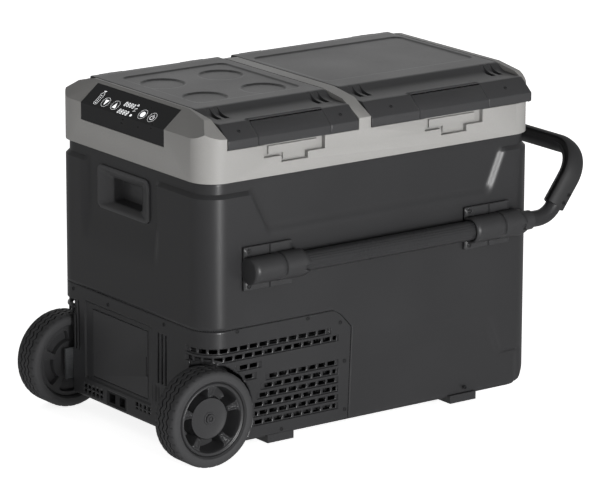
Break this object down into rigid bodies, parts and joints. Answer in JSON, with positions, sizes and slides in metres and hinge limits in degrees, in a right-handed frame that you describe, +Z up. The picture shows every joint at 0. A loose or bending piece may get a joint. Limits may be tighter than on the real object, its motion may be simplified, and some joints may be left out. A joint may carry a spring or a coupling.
{
  "type": "compressor cooler fridge",
  "caption": "Wheeled dual-zone compressor cooler box with hinged latching lids, side rails with a telescopic pull handle, control panel and louvred machine bay.",
  "frame": {"origin": "centre of the overall box, on the floor that the wheels and rubber feet stand on", "axes": "+X along the cabinet towards the pull-handle end, -Y towards the latch side, +Z up"},
  "size_m": [0.7804, 0.476, 0.518],
  "materials": {
    "case_plastic": "fine spark-eroded texture, charcoal",
    "lid_plastic": "fine spark-eroded texture, dark grey",
    "latch_plastic": "fine texture, black",
    "frame_plastic": "satin warm grey",
    "liner_plastic": "smooth white liner",
    "foam": "rigid foam, matte",
    "rubber": "matte",
    "grip_rubber": "soft-touch, matte",
    "tyre": "matte with moulded tread",
    "wheel_plastic": "satin black",
    "painted_tube": "black powder coat over aluminium",
    "steel": "satin",
    "aluminium": "satin",
    "copper": "satin copper",
    "display": "gloss black lens with lit signs",
    "board": "solder-masked circuit board",
    "black_plastic": "satin black",
    "compressor_paint": "satin black paint on steel"
  },
  "bodies": {
    "cabinet": {"outer_case": "case_plastic", "machine_cover": "case_plastic", "wheel_well_front": "case_plastic", "wheel_well_rear": "case_plastic", "base_pan": "case_plastic", "rubber_foot_front": "rubber", "rubber_foot_rear": "rubber", "bay_bulkhead": "aluminium", "insulation_foam": "foam", "liner_left": "liner_plastic", "liner_right": "liner_plastic", "evaporator_left": "aluminium", "evaporator_right": "aluminium", "grip_cup_left": "case_plastic", "grip_cup_right": "case_plastic", "upper_frame": "frame_plastic", "display_panel": "display", "control_board": "board", "latch_strike_left": "frame_plastic", "latch_strike_right": "frame_plastic", "hinge_pin_left": "steel", "hinge_pin_right": "steel", "rail_bracket_front_left": "case_plastic", "rail_bracket_front_right": "case_plastic", "rail_bracket_rear_left": "case_plastic", "rail_bracket_rear_right": "case_plastic", "rail_tube_front": "painted_tube", "rail_tube_rear": "painted_tube", "guide_collar_front": "case_plastic", "guide_collar_rear": "case_plastic", "axle_front": "steel", "axle_rear": "steel", "battery_pack": "black_plastic", "socket_panel": "black_plastic", "compressor": "compressor_paint", "condenser": "aluminium", "fan_shroud": "black_plastic", "power_board": "board", "discharge_pipe": "copper"},
    "lid_left": {"lid_shell_left": "lid_plastic", "lid_panel_left": "liner_plastic", "lid_gasket_left": "rubber", "latch_pin_left": "steel"},
    "lid_right": {"lid_shell_right": "lid_plastic", "lid_panel_right": "liner_plastic", "lid_gasket_right": "rubber", "latch_pin_right": "steel"},
    "latch_left": {"latch_lever_left": "latch_plastic"},
    "latch_right": {"latch_lever_right": "latch_plastic"},
    "battery_door": {"battery_door": "case_plastic"},
    "fan_rotor": {"fan_rotor": "black_plastic"},
    "pull_handle": {"slide_tube_front": "painted_tube", "slide_tube_rear": "painted_tube", "grip_cover": "grip_rubber"},
    "wheel_front": {"tyre_front": "tyre", "rim_front": "wheel_plastic", "hub_cap_front": "wheel_plastic"},
    "wheel_rear": {"tyre_rear": "tyre", "rim_rear": "wheel_plastic", "hub_cap_rear": "wheel_plastic"}
  },
  "joints": [
    {"name": "lid_left_hinge", "type": "hinge", "parent": "cabinet", "child": "lid_left", "pos_m": [-0.16325, 0.172, 0.51], "axis": [-1, 0, 0], "range_deg": [0, 100]},
    {"name": "lid_right_hinge", "type": "hinge", "parent": "cabinet", "child": "lid_right", "pos_m": [0.13125, 0.172, 0.51], "axis": [-1, 0, 0], "range_deg": [0, 100]},
    {"name": "latch_left_pivot", "type": "hinge", "parent": "lid_left", "child": "latch_left", "pos_m": [-0.16175, -0.181, 0.4975], "axis": [-1, 0, 0], "range_deg": [0, 30], "stiffness_Nm_per_rad": 0.3, "springref_deg": -11.46},
    {"name": "latch_right_pivot", "type": "hinge", "parent": "lid_right", "child": "latch_right", "pos_m": [0.13425, -0.181, 0.4975], "axis": [-1, 0, 0], "range_deg": [0, 30], "stiffness_Nm_per_rad": 0.3, "springref_deg": -11.46},
    {"name": "battery_door_hinge", "type": "hinge", "parent": "cabinet", "child": "battery_door", "pos_m": [-0.32005, 0.1046, 0.1175], "axis": [0, 0, -1], "range_deg": [0, 95]},
    {"name": "handle_slide", "type": "slide", "parent": "cabinet", "child": "pull_handle", "axis": [1, 0, 0], "range_m": [0, 0.25]},
    {"name": "wheel_front_spin", "type": "hinge", "parent": "cabinet", "child": "wheel_front", "pos_m": [-0.31675, -0.189, 0.0735], "axis": [0, 1, 0], "continuous": true},
    {"name": "wheel_rear_spin", "type": "hinge", "parent": "cabinet", "child": "wheel_rear", "pos_m": [-0.31675, 0.189, 0.0735], "axis": [0, 1, 0], "continuous": true},
    {"name": "fan_spin", "type": "hinge", "parent": "cabinet", "child": "fan_rotor", "pos_m": [-0.14175, -0.135, 0.105], "axis": [0, 1, 0], "continuous": true}
  ]
}
